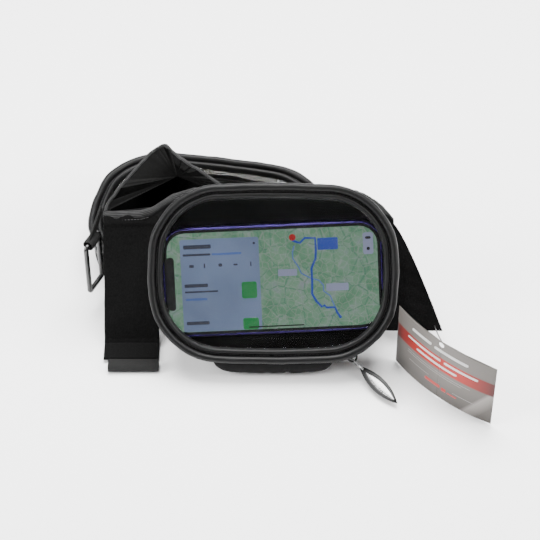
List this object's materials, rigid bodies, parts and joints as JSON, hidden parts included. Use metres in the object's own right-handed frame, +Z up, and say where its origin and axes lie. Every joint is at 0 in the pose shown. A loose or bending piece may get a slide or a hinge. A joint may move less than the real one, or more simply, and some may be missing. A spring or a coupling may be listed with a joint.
{
  "type": "tank bag",
  "caption": "Folding motorcycle tank bag: two zipped pods with clear windows, joined by a saddle sheet, with straps, a cinch ring and a hang tag.",
  "frame": {"origin": "middle of the outer face of the rear pod back panel, which lies on the ground", "axes": "+Z up, +Y from the front pod towards the rear pod, +X to the right as the front window is read"},
  "size_m": [0.2811, 0.2516, 0.1171],
  "materials": {
    "pod_nylon": "black coated polyester cloth",
    "foam_board": "foam board inside the cloth",
    "zip_tape": "woven zip tape",
    "zip_coil": "moulded nylon coil",
    "rim_leathercloth": "grained leathercloth",
    "clear_film": "clear soft film",
    "black_metal": "black lacquered metal",
    "steel_wire": "plated wire",
    "pull_rubber": "moulded soft plastic",
    "plated_inlay": "plated leaf",
    "phone_case": "anodised frame",
    "phone_display": "lit display",
    "saddle_nylon": "black nylon cloth",
    "grosgrain": "ribbed binding tape",
    "loop_pile": "brushed loop pile",
    "webbing": "herringbone webbing",
    "gloss_buckle": "polished moulding",
    "printed_card": "laminated card",
    "nylon_tie": "moulded nylon tie"
  },
  "bodies": {
    "rear_pod": {"rear_back_panel": "pod_nylon", "rear_gusset": "pod_nylon", "rear_hinge_panel_body": "pod_nylon", "rear_hinge_panel_lid": "pod_nylon", "rear_lid_piping": "rim_leathercloth", "rear_lid_side": "pod_nylon", "rear_pocket_backing": "pod_nylon", "rear_stiffener": "foam_board", "rear_window": "clear_film", "rear_window_bead": "rim_leathercloth", "rear_window_rim": "rim_leathercloth", "rear_zip_coil_body": "zip_coil", "rear_zip_coil_lid": "zip_coil", "rear_zip_stops": "black_metal", "rear_zip_tape_body": "zip_tape", "rear_zip_tape_lid": "zip_tape"},
    "rear_zip_slider": {"rear_slider": "black_metal"},
    "rear_zip_pull": {"rear_pull": "pull_rubber", "rear_pull_inlay": "plated_inlay", "rear_pull_link": "steel_wire"},
    "saddle": {"collar_binding": "grosgrain", "collar_left": "saddle_nylon", "collar_right": "saddle_nylon", "ring_tab": "webbing", "saddle_binding": "grosgrain", "saddle_pad": "foam_board", "saddle_root": "saddle_nylon", "saddle_sheet": "saddle_nylon"},
    "front_pod": {"front_back_panel": "pod_nylon", "front_gusset": "pod_nylon", "front_hinge_panel_body": "pod_nylon", "front_stiffener": "foam_board", "front_zip_coil_body": "zip_coil", "front_zip_stops": "black_metal", "front_zip_tape_body": "zip_tape"},
    "front_lid": {"front_hinge_panel_lid": "pod_nylon", "front_lid_piping": "rim_leathercloth", "front_lid_side": "pod_nylon", "front_pocket_backing": "pod_nylon", "front_window": "clear_film", "front_window_bead": "rim_leathercloth", "front_window_rim": "rim_leathercloth", "front_zip_coil_lid": "zip_coil", "front_zip_tape_lid": "zip_tape", "phone": "phone_case", "phone_screen": "phone_display"},
    "front_zip_slider": {"front_slider": "black_metal"},
    "front_zip_pull": {"front_pull": "pull_rubber", "front_pull_inlay": "plated_inlay", "front_pull_link": "steel_wire"},
    "left_strap_end": {"left_strap": "loop_pile", "strap_end_loop": "webbing"},
    "right_strap_end": {"right_strap": "loop_pile", "tag_tie": "nylon_tie"},
    "ring_body": {"cinch_ring": "gloss_buckle"},
    "tag_body": {"hang_tag": "printed_card"}
  },
  "joints": [
    {"name": "saddle_fold", "type": "hinge", "parent": "rear_pod", "child": "saddle", "pos_m": [0, -0.0662, 0.0015], "axis": [1, 0, 0], "range_deg": [0, 90]},
    {"name": "front_pod_fold", "type": "hinge", "parent": "saddle", "child": "front_pod", "pos_m": [0.0475, -0.03239, 0.09429], "axis": [-1, 0, 0], "range_deg": [0, 120]},
    {"name": "front_lid_open", "type": "hinge", "parent": "front_pod", "child": "front_lid", "pos_m": [0.0475, -0.1264, 0.0019], "axis": [1, 0, 0], "range_deg": [0, 90]},
    {"name": "front_zip_run", "type": "hinge", "parent": "front_pod", "child": "front_zip_slider", "pos_m": [0.0825, -0.08895, 0.04911], "axis": [0, -0.809, 0.5878], "range_deg": [0, 12]},
    {"name": "front_pull_swing", "type": "hinge", "parent": "front_zip_slider", "child": "front_zip_pull", "pos_m": [0.1034, -0.11936, 0.00725], "axis": [-0.9272, -0.2202, -0.3031], "range_deg": [0, 60]},
    {"name": "rear_zip_run", "type": "hinge", "parent": "rear_pod", "child": "rear_zip_slider", "pos_m": [-0.03247, 0.0174, 0.0192], "axis": [0, 0, 1], "range_deg": [0, 60]},
    {"name": "rear_pull_swing", "type": "hinge", "parent": "rear_zip_slider", "child": "rear_zip_pull", "pos_m": [-0.04407, 0.07198, 0.0192], "axis": [0.9781, 0.2079, 0], "range_deg": [0, 90]},
    {"name": "left_strap_swing", "type": "hinge", "parent": "saddle", "child": "left_strap_end", "pos_m": [0.0475, -0.04722, 0.07064], "axis": [1, 0, 0], "range_deg": [0, 8]},
    {"name": "right_strap_swing", "type": "hinge", "parent": "saddle", "child": "right_strap_end", "pos_m": [0.0475, -0.04722, 0.07064], "axis": [1, 0, 0], "range_deg": [0, 40]},
    {"name": "cinch_ring_swing", "type": "hinge", "parent": "saddle", "child": "ring_body", "pos_m": [-0.0785, -0.0549, 0.0609], "axis": [0.4067, 0.9135, 0], "range_deg": [-25, 25]},
    {"name": "tag_swing", "type": "hinge", "parent": "right_strap_end", "child": "tag_body", "pos_m": [0.15946, -0.14546, 0.0518], "axis": [-0.7242, 0.6896, 0], "range_deg": [-15, 15]}
  ]
}
